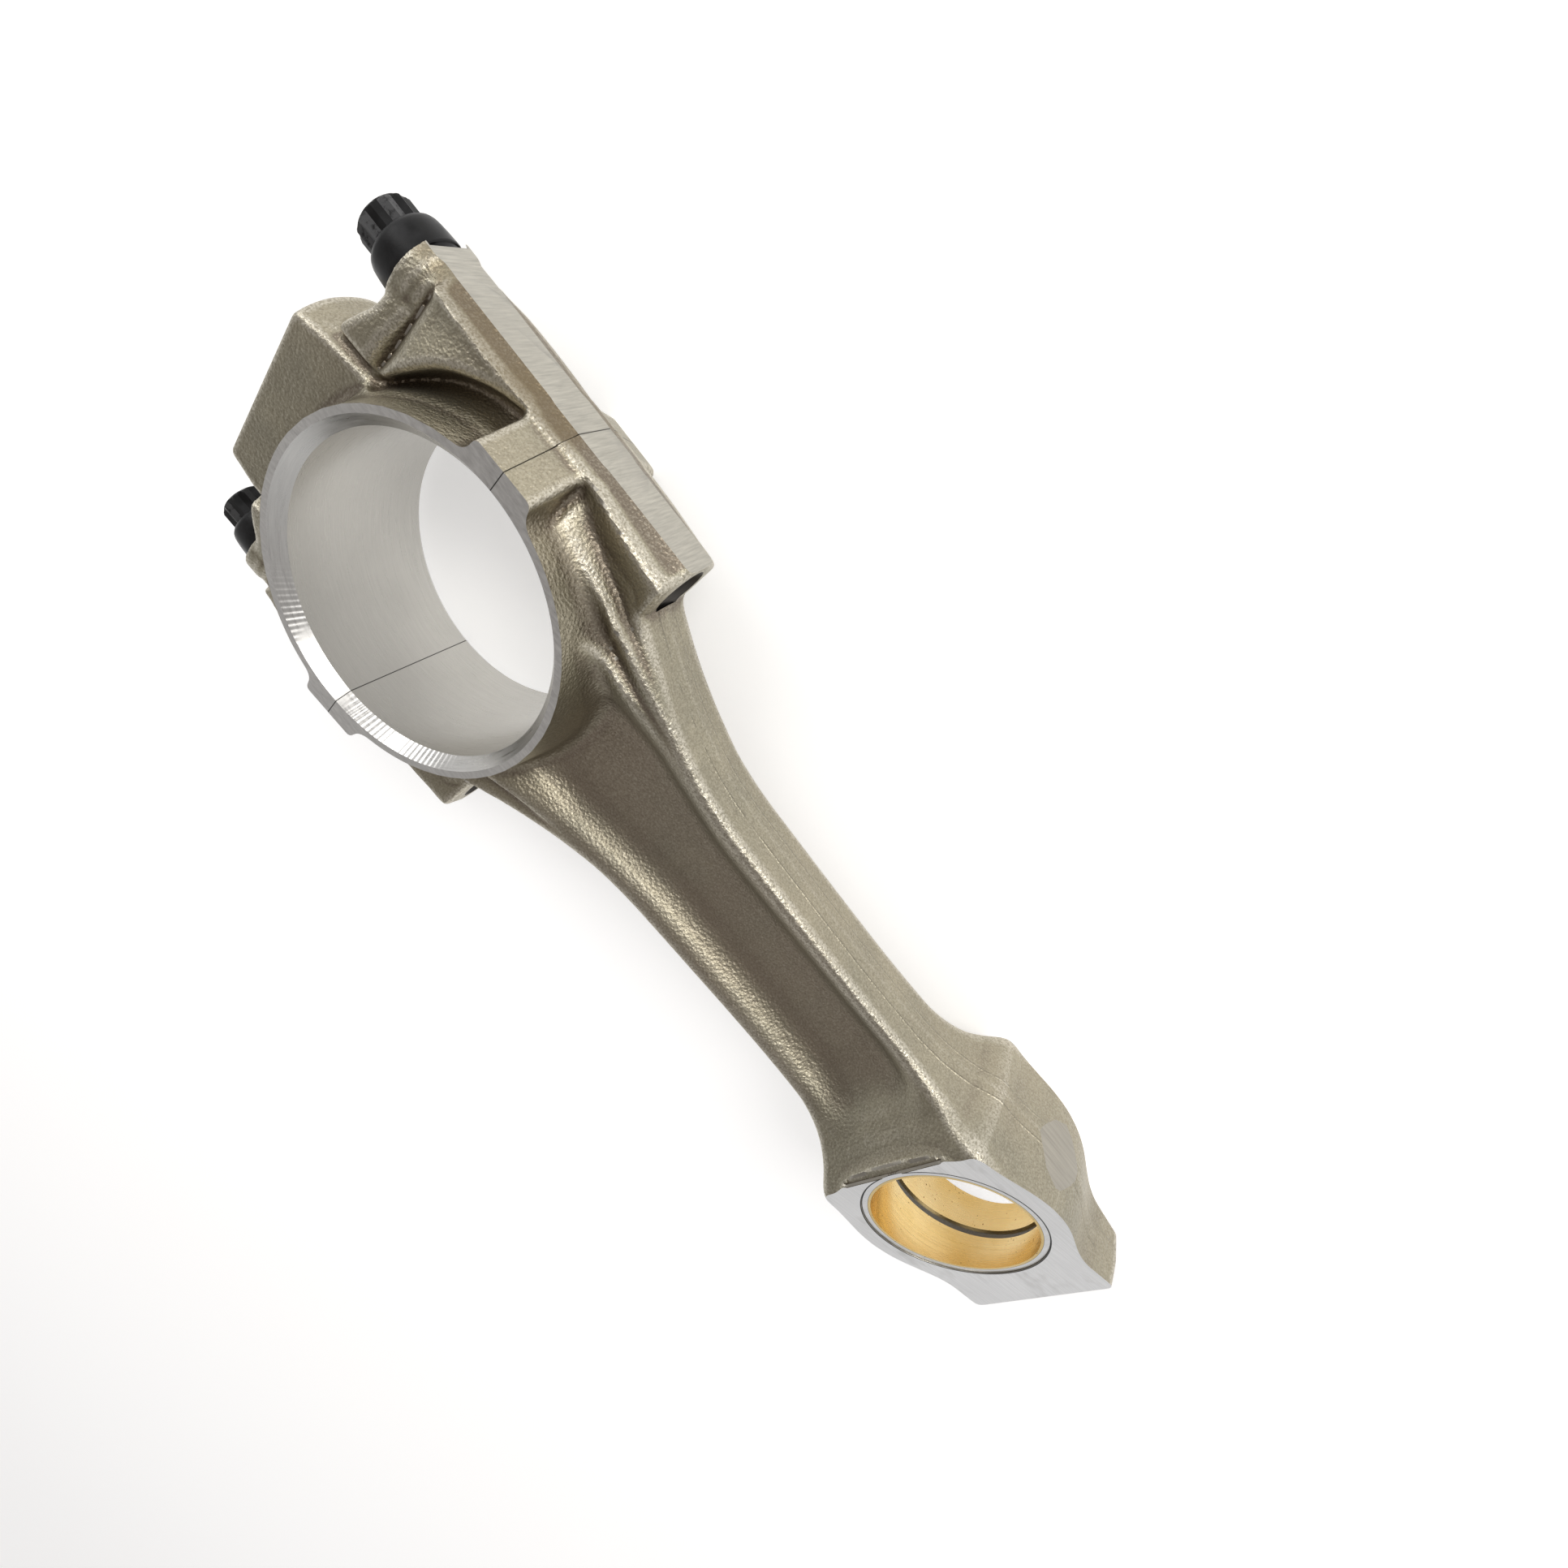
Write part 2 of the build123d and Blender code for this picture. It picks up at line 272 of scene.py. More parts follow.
def arch_radius(x, a):
    """Distance from the bore axis of the buttress's inner edge."""
    angle = np.degrees(np.arctan2(a, -x))
    return along(angle, (30, 60.5), (40, 61.5), (48, 63.0), (57, 65.6), (65, 66.8), (72, 67.5),
                 (80, 67.5))


def cap_field(x, y, z):
    """Distance to the forged skin of the cap, before machining."""
    a = np.abs(y)
    h = np.abs(z)
    u = -x
    r = np.hypot(x, a)
    # the slanted buttress, from the screw boss down to the pad
    face = ridges(u, a, BUTTRESS)
    buttress = smax((h - face) * 0.85, u - 51.0, 2.0)
    buttress = smax(buttress, a - FLANK_Y - PROUD, 0.5)
    boss_end = SEAT_X + 1.5
    column = column_field(u, a, h, boss_end)
    collar_r = COLUMN_R + 0.9 * step(u, 54.5, 57.5)
    collar = smax(np.hypot(a - SCREW_Y, h) - collar_r, u - boss_end, 0.5)
    boss = smin(smin(buttress, column, 1.5), collar, 1.0)
    # the web between tower and boss, and the island on it
    top = along(a, (35, 16.4), (38.5, 17.7), (46, 16.6), (54, 14.4), (60, 13.0))
    outer = along(a, (30, 66.5), (38, 66.0), (44, 63.8), (50, 61.5), (60, 61.5))
    web = smax(smax(h - top, u - outer, 2.5), a - 58.0, 3.0)
    body = smin(boss, web, 1.5)
    floor = along(a, (36, 14.6), (45, 13.0), (58, 11.4), (68, 10.6))
    crease = (np.abs(u - 51.4) - 0.75 * (h - floor)) * 0.8
    crease = smax(smax(crease, 36.0 - a, 3.0), a - 67.0, 4.0)
    body = smax(body, -crease, 1.6)
    # the balance pad
    width = along(u, (50, 37.6), (66, 36.4), (80, 33.9)) - 5.0 * (h / 17.8) ** 2.4
    end = CAP_TOP - 1.7 + 1.5 * (1.0 - (h / 18.0) ** 2)
    tower = smax(a - width, u - end, 2.4)
    tower = smax(tower, h - along(u, (52, 16.6), (64, 17.6), (80, 17.8)), 1.2)
    body = smin(body, tower, 1.0)
    valley = np.hypot(a - 34.6, (h - 17.6) * 0.8) - 2.3
    valley = smax(valley, 46.0 - u, 3.0)
    body = smax(body, -valley, 1.4)
    # the recess between the ring wall and the buttress
    wall_r = RING_R + 1.2
    edge_r = arch_radius(x, a)
    middle = (wall_r + edge_r) / 2
    half = (edge_r - wall_r) / 2
    dip = np.hypot((r - middle) / half, (h - 19.5) / 11.5) - 1.0
    hollow = smax(dip * half * 0.9, PAD_LENGTH + 1.0 - u, 2.0)
    hollow = smax(hollow, 33.0 - a, 3.0)
    body = smax(body, -hollow, 2.8)
    body = smin(body, pad_field(u, a, h), 1.6)
    return smin(body, ring_field(x, a, h), 4.0)


def field_mesh(field, low, high, cell):
    """The zero surface of a field, as quads whose corners are drawn onto it."""
    axes = [np.arange(low[i] - 2 * cell, high[i] + 3 * cell, cell) for i in range(3)]
    grid = np.meshgrid(*axes, indexing="ij", sparse=True)
    values = field(*grid).astype(np.float32)
    volume = openvdb.FloatGrid(1.0e3)
    volume.copyFromArray(values)
    points, quads = volume.convertToQuads(0.0)
    points = points.astype(float) * cell + np.array([axis[0] for axis in axes])
    reach = 0.05
    for _ in range(3):
        here = field(*points.T)
        slope = np.stack([
            (field(*(points + reach * axis).T) - field(*(points - reach * axis).T)) / (2 * reach)
            for axis in np.eye(3)], axis=1)
        norm2 = np.maximum((slope ** 2).sum(axis=1), 0.05)
        move = slope * (here / norm2)[:, None]
        size = np.linalg.norm(move, axis=1)
        move *= np.minimum(1.0, 0.4 * cell / np.maximum(size, 1e-9))[:, None]
        points = points - move
    return points, quads[:, ::-1]


# ---------------------------------------------------------------- mesh helpers


def add_mesh(name, points, faces):
    """A new object from points in millimetres."""
    mesh = bpy.data.meshes.new(name)
    corners = (np.asarray(points, float) * MM).tolist()
    mesh.from_pydata(corners, [], [list(map(int, face)) for face in faces])
    mesh.validate()
    mesh.update()
    obj = bpy.data.objects.new(name, mesh)
    bpy.context.scene.collection.objects.link(obj)
    return obj


def tube_faces(rows, turns):
    """The faces of a closed tube: rows of points joined in turn, and a flat end at each side."""
    faces = []
    for j in range(rows - 1):
        for i in range(turns):
            k = (i + 1) % turns
            here, ahead = j * turns, (j + 1) * turns
            faces.append((here + i, here + k, ahead + k, ahead + i))
    faces.append(tuple(reversed(range(turns))))
    faces.append(tuple((rows - 1) * turns + i for i in range(turns)))
    return faces


def lathe(name, profile, turns=96, axis="Z", place=(0, 0, 0)):
    """A closed solid turned from (radius, height) points, about an axis through place."""
    points = []
    for radius, height in profile:
        for i in range(turns):
            angle = 2 * pi * i / turns
            across = (radius * cos(angle), radius * sin(angle))
            if axis == "Z":
                points.append((across[0], across[1], height))
            else:
                points.append((height, across[0], across[1]))
    shifted = np.array(points) + np.array(place, float)
    return add_mesh(name, shifted, tube_faces(len(profile), turns))


def block(name, low, high):
    """A box between two corners."""
    points = [(x, y, z)
              for x in (low[0], high[0]) for y in (low[1], high[1]) for z in (low[2], high[2])]
    faces = [(0, 1, 3, 2), (4, 6, 7, 5), (0, 4, 5, 1), (2, 3, 7, 6), (0, 2, 6, 4), (1, 5, 7, 3)]
    return add_mesh(name, points, faces)


def split_large_faces(mesh):
    """Cuts faces of many corners into triangles, which every viewer fills the same way."""
    work = bmesh.new()
    work.from_mesh(mesh)
    large = [face for face in work.faces if len(face.verts) > 4]
    bmesh.ops.triangulate(work, faces=large, ngon_method="EAR_CLIP")
    work.to_mesh(mesh)
    work.free()


def apply_boolean(obj, cutter, operation):
    """obj after one boolean; the cutter is used up."""
    mod = obj.modifiers.new("cut", "BOOLEAN")
    mod.object = cutter
    mod.operation = operation
    mod.solver = "MANIFOLD"
    bpy.context.view_layer.update()
    shape = obj.evaluated_get(bpy.context.evaluated_depsgraph_get())
    mesh = bpy.data.meshes.new_from_object(shape)
    obj.modifiers.clear()
    old = obj.data
    obj.data = mesh
    bpy.data.meshes.remove(old)
    bpy.data.objects.remove(cutter)
    split_large_faces(mesh)


def bore_cutter():
    """The crank bore with its two chamfers, carried on past the ring faces."""
    front, rear = CHAMFER_FRONT, CHAMFER_REAR
    over = 4.0
    return lathe("cutter", [
        (BORE_R + rear[0] * (1 + over / rear[1]), -HALF_WIDTH - over),
        (BORE_R, -HALF_WIDTH + rear[1]),
        (BORE_R, HALF_WIDTH - front[1]),
        (BORE_R + front[0] * (1 + over / front[1]), HALF_WIDTH + over),
    ], turns=360)


def taper_block():
    """Everything between the two tapered faces and between the ring faces."""
    start, end = -120.0, TIP_X + 20.0
    # where the tapered planes reach the ring's height, before the small end starts
    meet = PIN_X - (HALF_WIDTH - PIN_HALF) / tan(TAPER)
    plan = [(start, HALF_WIDTH), (meet, HALF_WIDTH), (end, taper_height(end))]
    outline = plan + [(x, -z) for x, z in reversed(plan)]
    count = len(outline)
    points = [(x, -FAR, z) for x, z in outline] + [(x, FAR, z) for x, z in outline]
    faces = [(i, (i + 1) % count, count + (i + 1) % count, count + i) for i in range(count)]
    faces.append(tuple(reversed(range(count))))
    faces.append(tuple(count + i for i in range(count)))
    return add_mesh("cutter", points, faces)


def forged_rod():
    """The rod's forged skin with its machined faces and holes cut into it."""
    cell = 1.0
    points, quads = field_mesh(rod_field, (-4, -74, -34), (TIP_X + 3, 74, 34), cell)
    rod = add_mesh("rod_body", points, quads)
    outside = block("cutter", (0, -FLANK_Y, -FAR), (TIP_X + 10, FLANK_Y, FAR))
    apply_boolean(rod, outside, "INTERSECT")
    apply_boolean(rod, taper_block(), "INTERSECT")
    apply_boolean(rod, bore_cutter(), "DIFFERENCE")
    seat = [(SEAT_R, -40.0), (SEAT_R, 40.0)]
    apply_boolean(rod, lathe("cutter", seat, turns=240, place=(PIN_X, 0, 0)), "DIFFERENCE")
    # a clear mouth, the tapped length, and a countersink where the hole comes out
    hole = [(THREAD_R + HOLE_GAP, -5.0), (THREAD_R + HOLE_GAP, 4.0), (THREAD_R + THREAD_GAP, 4.6),
            (THREAD_R + THREAD_GAP, BOSS_END - 1.2), (THREAD_R + 2.2, BOSS_END + 1.4)]
    for side in (1, -1):
        cutter = lathe("cutter", hole, turns=96, axis="X", place=(0, side * SCREW_Y, 0))
        apply_boolean(rod, cutter, "DIFFERENCE")
        near, away = sorted((side * SPOT_Y, side * 80.0))
        spot = block("cutter", (PIN_X - 30, near, -30), (PIN_X + 30, away, 30))
        apply_boolean(rod, spot, "DIFFERENCE")
    gallery = [(GALLERY_R, BORE_R - 8), (GALLERY_R, PIN_X - SEAT_R + 3)]
    apply_boolean(rod, lathe("cutter", gallery, turns=48, axis="X"), "DIFFERENCE")
    return rod


def forged_cap():
    """The cap's forged skin in the same way."""
    cell = 0.72
    points, quads = field_mesh(cap_field, (-CAP_TOP - 2, -74, -34), (4, 74, 34), cell)
    cap = add_mesh("cap_body", points, quads)
    outside = block("cutter", (-CAP_TOP - 5, -FLANK_Y, -HALF_WIDTH), (0, FLANK_Y, HALF_WIDTH))
    apply_boolean(cap, outside, "INTERSECT")
    apply_boolean(cap, bore_cutter(), "DIFFERENCE")
    seat = [(FLANGE_R + 1.35, -FAR), (FLANGE_R + 1.35, -SEAT_X)]
    hole = [(THREAD_R + HOLE_GAP, -FAR), (THREAD_R + HOLE_GAP, 5.0)]
    for side in (1, -1):
        place = (0, side * SCREW_Y, 0)
        for profile, turns in ((seat, 128), (hole, 96)):
            cutter = lathe("cutter", profile, turns=turns, axis="X", place=place)
            apply_boolean(cap, cutter, "DIFFERENCE")
    return cap


def finish_mesh(obj, angle=28):
    """Smooth shading, with a sharp edge wherever faces meet at more than angle."""
    mesh = obj.data
    mesh.shade_smooth()
    mesh.set_sharp_from_angle(angle=radians(angle))


# ---------------------------------------------------------------- materials


class Paint:
    """A small helper that wires the nodes of one material."""

    def __init__(self, name, color, metallic, roughness):
        self.mat = bpy.data.materials.new(name)
        self.mat.use_nodes = True
        self.tree = self.mat.node_tree
        self.shader = self.tree.nodes["Principled BSDF"]
        self.shader.inputs["Base Color"].default_value = (*color, 1)
        self.shader.inputs["Metallic"].default_value = metallic
        self.shader.inputs["Roughness"].default_value = roughness
        self.place = self.node("ShaderNodeTexCoord").outputs["Object"]
        self.height = None

    def node(self, kind, **values):
        made = self.tree.nodes.new(kind)
        for key, value in values.items():
            setattr(made, key, value)
        return made

    def link(self, source, target):
        if isinstance(source, (int, float)):
            target.default_value = source
        else:
            self.tree.links.new(source, target)

    def math(self, operation, a, b=0.0):
        made = self.node("ShaderNodeMath", operation=operation)
        self.link(a, made.inputs[0])
        self.link(b, made.inputs[1])
        return made.outputs[0]

    def stretch(self, x, y, z, turn=(0, 0, 0)):
        made = self.node("ShaderNodeMapping")
        made.inputs["Scale"].default_value = (x, y, z)
        made.inputs["Rotation"].default_value = turn
        self.link(self.place, made.inputs["Vector"])
        return made.outputs[0]

    def noise(self, scale, detail=3.0, rough=0.5, place=None):
        made = self.node("ShaderNodeTexNoise")
        self.link(place or self.place, made.inputs["Vector"])
        made.inputs["Scale"].default_value = scale
        made.inputs["Detail"].default_value = detail
        made.inputs["Roughness"].default_value = rough
        return made.outputs["Fac"]

    def dimples(self, scale):
        made = self.node("ShaderNodeTexVoronoi", feature="SMOOTH_F1")
        self.link(self.place, made.inputs["Vector"])
        made.inputs["Scale"].default_value = scale
        made.inputs["Smoothness"].default_value = 0.6
        return made.outputs["Distance"]

    def attribute(self, name):
        return self.node("ShaderNodeAttribute", attribute_name=name).outputs["Fac"]

    def spread(self, value, low, high, to_low=0.0, to_high=1.0):
        """A value between low and high, moved in proportion to between to_low and to_high."""
        made = self.node("ShaderNodeMapRange")
        self.link(value, made.inputs["Value"])
        ends = {"From Min": low, "From Max": high, "To Min": to_low, "To Max": to_high}
        for key, number in ends.items():
            made.inputs[key].default_value = number
        return made.outputs["Result"]

    def blend(self, amount, a, b):
        """A colour between two colours or sockets."""
        made = self.node("ShaderNodeMix", data_type="RGBA")
        self.link(amount, made.inputs["Factor"])
        for value, socket in ((a, made.inputs[6]), (b, made.inputs[7])):
            if isinstance(value, tuple):
                socket.default_value = (*value, 1)
            else:
                self.link(value, socket)
        return made.outputs[2]

    def bump(self, height, distance, strength=1.0):
        made = self.node("ShaderNodeBump")
        made.inputs["Distance"].default_value = distance * MM
        made.inputs["Strength"].default_value = strength
        self.link(height, made.inputs["Height"])
        if self.height is not None:
            self.link(self.height, made.inputs["Normal"])
        self.height = made.outputs["Normal"]
        self.link(self.height, self.shader.inputs["Normal"])

    def color(self, value):
        self.link(value, self.shader.inputs["Base Color"])

    def roughness(self, value):
        self.link(value, self.shader.inputs["Roughness"])

    def crack(self, tone):
        """Darkens a colour along the line where rod and cap meet, and on the joint faces too."""
        x = self.parts()[0]
        near = self.spread(self.math("ABSOLUTE", x), 0.08 * MM, 0.24 * MM, 0.93, 0.0)
        return self.blend(near, tone, (0.01, 0.008, 0.006))

    def parts(self):
        """The three coordinates of a point, in metres."""
        made = self.node("ShaderNodeSeparateXYZ")
        self.link(self.place, made.inputs[0])
        return made.outputs

    def from_pin(self):
        """The distance from the pin's axis, in metres."""
        x, y, _ = self.parts()
        across = self.math("SUBTRACT", x, PIN_X * MM)
        squares = self.math("MULTIPLY", across, across), self.math("MULTIPLY", y, y)
        return self.math("SQRT", self.math("ADD", *squares))

    def tone(self):
        """The colour laid on so far."""
        return self.shader.inputs["Base Color"].links[0].from_socket


def forged_material():
    """Shot-peened forging: olive scale, brown on the channel floor, painted shade in the hollows,
    and a painted highlight along the crests.
    """
    p = Paint("forged_steel_skin", (0.40, 0.37, 0.30), 1.0, 0.4)
    cloud = p.noise(22.0, 4.0, 0.55)
    patch = p.noise(75.0, 3.0, 0.6)
    grain = p.noise(1500.0, 2.0, 0.6)
    tone = p.blend(p.spread(cloud, 0.38, 0.64), (0.325, 0.300, 0.228), (0.39, 0.350, 0.262))
    tone = p.blend(p.spread(patch, 0.48, 0.75, 0.0, 0.5), tone, (0.44, 0.40, 0.295))
    crest = p.attribute("crest")
    # painted shade: concave places of the skin are darkened towards dark brown
    hollow = p.spread(crest, 0.0, -1.0)
    tone = p.blend(p.math("MULTIPLY", hollow, 0.75), tone, (0.17, 0.135, 0.105))
    brown = p.math("MULTIPLY", p.attribute("lying"), p.spread(cloud, 0.3, 0.6, 0.3, 0.6))
    tone = p.blend(brown, tone, (0.30, 0.24, 0.19))
    # painted highlight: convex crests are lightened towards pale steel, sparkling with the grain
    crest_highlight = p.math("MULTIPLY", p.spread(crest, 0.15, 1.0, 0.0, 0.8),
                 p.spread(grain, 0.36, 0.62, 0.2, 1.0))
    tone = p.blend(crest_highlight, tone, (0.66, 0.62, 0.53))
    speck = p.spread(grain, 0.3, 0.7, -0.28, 0.28)
    speck_tone = p.blend(p.spread(grain, 0.49, 0.51), (0.12, 0.1, 0.08), (0.62, 0.58, 0.48))
    tone = p.blend(p.math("ABSOLUTE", speck), tone, speck_tone)
    stain = p.math("MULTIPLY", p.attribute("stain"), p.spread(cloud, 0.35, 0.6, 0.35, 0.8))
    tone = p.blend(stain, tone, (0.20, 0.155, 0.09))
    p.color(p.crack(tone))
    p.roughness(p.spread(grain, 0.3, 0.75, 0.48, 0.33))
    p.bump(p.dimples(900.0), 0.22, 0.8)
    p.bump(grain, 0.2, 0.8)
    p.bump(patch, 0.7, 0.4)
    # two thin lines of trimmed flash along the flanks
    z = p.parts()[2]
    wander = p.math("MULTIPLY", p.math("SUBTRACT", p.noise(14.0, 2.0), 0.5), 1.2 * MM)
    level = p.math("ABSOLUTE", p.math("ADD", z, wander))
    line = p.math("ABSOLUTE", p.math("SUBTRACT", level, 4.2 * MM))
    broken = p.math("MULTIPLY", p.attribute("flank"), p.spread(p.noise(60.0, 2.0), 0.3, 0.42))
    flash = p.math("MULTIPLY", p.spread(line, 0.0, 0.5 * MM, 1.0, 0.0), broken)
    p.bump(flash, 0.35, 0.8)
    return p.mat


def machined(name, color, roughness, grain_scale, turn=(0, 0, 0), depth=0.02, contrast=0.12):
    """A cut face, as a Paint: fine parallel tool marks and a slow change of tone."""
    p = Paint(name, color, 1.0, roughness)
    marks = p.noise(1.0, 4.0, 0.65, p.stretch(*grain_scale, turn=turn))
    cloud = p.noise(35.0, 3.0)
    dark = tuple(c * (1 - contrast) for c in color)
    light = tuple(min(1.0, c * (1 + contrast)) for c in color)
    tone = p.blend(p.spread(marks, 0.33, 0.67), dark, light)
    tone = p.blend(p.spread(cloud, 0.4, 0.65, 0.0, 0.35), tone, tuple(c * 0.86 for c in color))
    p.color(p.crack(tone))
    p.roughness(p.spread(marks, 0.3, 0.7, roughness * 0.8, roughness * 1.25))
    p.bump(marks, depth, 0.7)
    return p


def chamfer_material():
    """The bore's chamfer, with patches of tool chatter across it."""
    p = machined("machined_chamfer", (0.62, 0.61, 0.59), 0.3, (90, 90, 1400), depth=0.01,
                 contrast=0.1)
    x, y, z = p.parts()
    angle = p.math("ARCTAN2", y, x)
    slanted = p.math("ADD", angle, p.math("MULTIPLY", z, 3.0))
    ripple = p.math("SINE", p.math("MULTIPLY", slanted, 170.0))
    where = p.spread(p.noise(26.0, 1.0), 0.53, 0.6)
    p.bump(p.math("MULTIPLY", ripple, where), 0.05, 0.7)
    return p.mat


def taper_material():
    """The tapered face, brushed and scratched, with the dark line of the gap round the bush."""
    p = machined("brushed_taper", (0.93, 0.93, 0.93), 0.36, (60, 1300, 60), turn=(0, 0, 0.2),
                 depth=0.02, contrast=0.1)
    streaks = p.noise(1.0, 3.0, 0.6, p.stretch(55, 130, 55, turn=(0, 0, 0.9)))
    tone = p.blend(p.spread(streaks, 0.55, 0.72, 0.0, 0.45), p.tone(), (0.55, 0.54, 0.52))
    gap = p.spread(p.from_pin(), (SEAT_R + 0.35) * MM, (SEAT_R + 0.5) * MM, 0.97, 0.0)
    p.color(p.blend(gap, tone, (0.01, 0.01, 0.01)))
    return p.mat


def backing_material():
    """The bush's steel back: bright ends, and a dark floor where the groove reaches it."""
    p = machined("turned_steel", (0.85, 0.85, 0.85), 0.3, (40, 40, 1800), depth=0.01)
    r = p.from_pin()
    floor = p.spread(r, (BRONZE_R + 0.08) * MM, (BRONZE_R + 0.16) * MM, 1.0, 0.0)
    tone = p.blend(floor, p.tone(), (0.13, 0.125, 0.115))
    gap = p.spread(r, (SEAT_R - 0.22) * MM, (SEAT_R - 0.12) * MM)
    p.color(p.blend(gap, tone, (0.01, 0.01, 0.01)))
    return p.mat


def black_material():
    """Phosphated screw: satin black, rubbed on some flats of the head."""
    p = Paint("black_screw", (0.008, 0.008, 0.008), 0.0, 0.36)
    p.shader.inputs["Specular IOR Level"].default_value = 0.2
    cloud = p.noise(160.0, 3.0)
    grain = p.noise(2600.0, 2.0)
    tone = p.blend(p.spread(cloud, 0.4, 0.7), (0.004, 0.004, 0.004), (0.014, 0.014, 0.015))
    worn = p.math("MULTIPLY", p.attribute("worn"), p.spread(p.noise(420.0, 4.0, 0.7), 0.36, 0.5))
    tone = p.blend(worn, tone, (0.08, 0.08, 0.082))
    p.color(tone)
    p.roughness(p.spread(cloud, 0.35, 0.7, 0.28, 0.46))
    p.bump(grain, 0.03, 0.5)
    return p.mat


def bronze_material():
    """The bush's lining: turned bronze with a few dark specks."""
    p = Paint("bronze_lining", (0.86, 0.58, 0.22), 1.0, 0.24)
    lathe_marks = p.noise(1.0, 3.0, 0.6, p.stretch(25, 25, 2300))
    cloud = p.noise(45.0, 3.0)
    tone = p.blend(p.spread(cloud, 0.36, 0.66), (0.78, 0.56, 0.22), (0.88, 0.69, 0.36))
    tone = p.blend(p.spread(p.noise(900.0, 1.0), 0.72, 0.78), tone, (0.25, 0.14, 0.05))
    p.color(tone)
    p.roughness(p.spread(lathe_marks, 0.3, 0.7, 0.2, 0.32))
    p.bump(lathe_marks, 0.008, 0.6)
    return p.mat


FORGED, FACE, CHAMFER, BORE, BAND, TAPERED, CUT, CRACKED, SHADED_HOLE = range(9)


def steel_materials():
    """The finishes of rod and cap, in the order of the numbers above."""
    return [
        forged_material(),
        machined("machined_face", (0.66, 0.65, 0.63), 0.34, (260, 900, 260), turn=(0, 0, 0.5),
                 depth=0.015, contrast=0.14).mat,
        chamfer_material(),
        machined("machined_bore", (0.60, 0.585, 0.55), 0.3, (60, 60, 2600), depth=0.006,
                 contrast=0.06).mat,
        machined("milled_band", (0.47, 0.45, 0.395), 0.36, (1500, 40, 110), turn=(0, 0.35, 0),
                 depth=0.03, contrast=0.2).mat,
        taper_material(),
        machined("machined_cut", (0.40, 0.375, 0.325), 0.4, (60, 60, 1100), turn=(0, 0.6, 0),
                 depth=0.03, contrast=0.2).mat,
        machined("cracked_joint", (0.34, 0.33, 0.32), 0.55, (900, 900, 900), depth=0.25,
                 contrast=0.4).mat,
        # painted shade: the inside of the screw holes is near black
        machined("screw_hole_painted_shade", (0.07, 0.065, 0.06), 0.4, (1400, 60, 60), depth=0.05,
                 contrast=0.3).mat,
    ]


def read_vectors(items, key):
    """One vector of each face or corner, as rows of three."""
    values = np.zeros(len(items) * 3)
    items.foreach_get(key, values)
    return values.reshape(-1, 3)


def classify(obj, field):
    """Gives each face its finish from where it lies."""
    mesh = obj.data
    x, y, z = (read_vectors(mesh.polygons, "center") / MM).T
    facing = np.abs(read_vectors(mesh.polygons, "normal"))
    a, h = np.abs(y), np.abs(z)
    r = np.hypot(x, y)
    near = 0.02
    cut = np.abs(field(x, y, z)) > 0.12            # off the forged skin
    kind = np.full(len(x), FORGED)
    kind[cut] = CUT
    kind[cut & (np.abs(h - HALF_WIDTH) < near)] = FACE
    kind[cut & (r < BORE_R + 0.1)] = BORE
    flare = (r > BORE_R + 0.05) & (r < BORE_R + CHAMFER_FRONT[0] + 0.1)
    flare &= (facing[:, 2] < 0.9) & (h > HALF_WIDTH - CHAMFER_FRONT[1] - 0.1)
    kind[flare & (np.abs(x) > 1e-3)] = CHAMFER
    kind[(np.abs(a - FLANK_Y) < near) & (facing[:, 1] > 0.99)] = BAND
    on_taper = (np.abs(h - taper_height(x)) < near) & (facing[:, 2] > 0.9)
    kind[on_taper & (x > FACE_START - 1)] = TAPERED
    kind[(np.abs(x) < near) & (facing[:, 0] > 0.99)] = CRACKED
    # faces inside the screw holes get the near-black painted shade
    kind[cut & (np.hypot(a - SCREW_Y, z) < THREAD_R + 2.0) & (facing[:, 0] < 0.9)] = SHADED_HOLE
    mesh.materials.clear()
    for mat in STEEL:
        mesh.materials.append(mat)
    mesh.polygons.foreach_set("material_index", kind.astype(np.int32))


def mark_wear_and_painted_light(obj, field):
    """Gives each corner what the forged material reads: crest (which drives painted shade and a
    painted highlight), lying, stain and flank.
    """
    mesh = obj.data
    corners = read_vectors(mesh.vertices, "co") / MM
    reach = 1.3
    total = -6.0 * field(*corners.T)
    slopes = []
    for axis in np.eye(3):
        ahead = field(*(corners + reach * axis).T)
        behind = field(*(corners - reach * axis).T)
        total = total + ahead + behind
        slopes.append((ahead - behind) / (2 * reach))
    upright = np.abs(slopes[2]) / np.maximum(np.sqrt(sum(s * s for s in slopes)), 1e-6)
    bend = total / reach ** 2
    x = corners[:, 0]
    a, h = np.abs(corners[:, 1]), np.abs(corners[:, 2])
    values = {
        # crest is the bend of the skin; the forged material turns it into painted shade and a
        # painted highlight
        "crest": np.clip(bend * 4.0, -1.0, 1.0),
        "lying": step(upright, 0.80, 0.98) * step(-h, -16.0, -12.0) * step(x, 50.0, 60.0),
        "stain": step(a, 66.5, 69.5) * step(h, 5.0, 7.0) * step(-x, -8.0, 4.0),
        "flank": step(-upright, -0.25, -0.12) * step(x, 46.0, 50.0),
    }
    for name, value in values.items():
        layer = mesh.attributes.new(name, "FLOAT", "POINT")
        layer.data.foreach_set("value", value.astype(np.float32))


# ---------------------------------------------------------------- screws


HEAD_FLATS = 15.3              # across the flats of either hexagon
HEAD_CORNER_R = 9.0            # the twelve points are turned down to this
SPLINE_END = SCREW_TOP + 8.2
PITCH = 1.5
ROOT_R = 6.1
THREAD_START = 3.6             # from the joint face
TURNS = 144

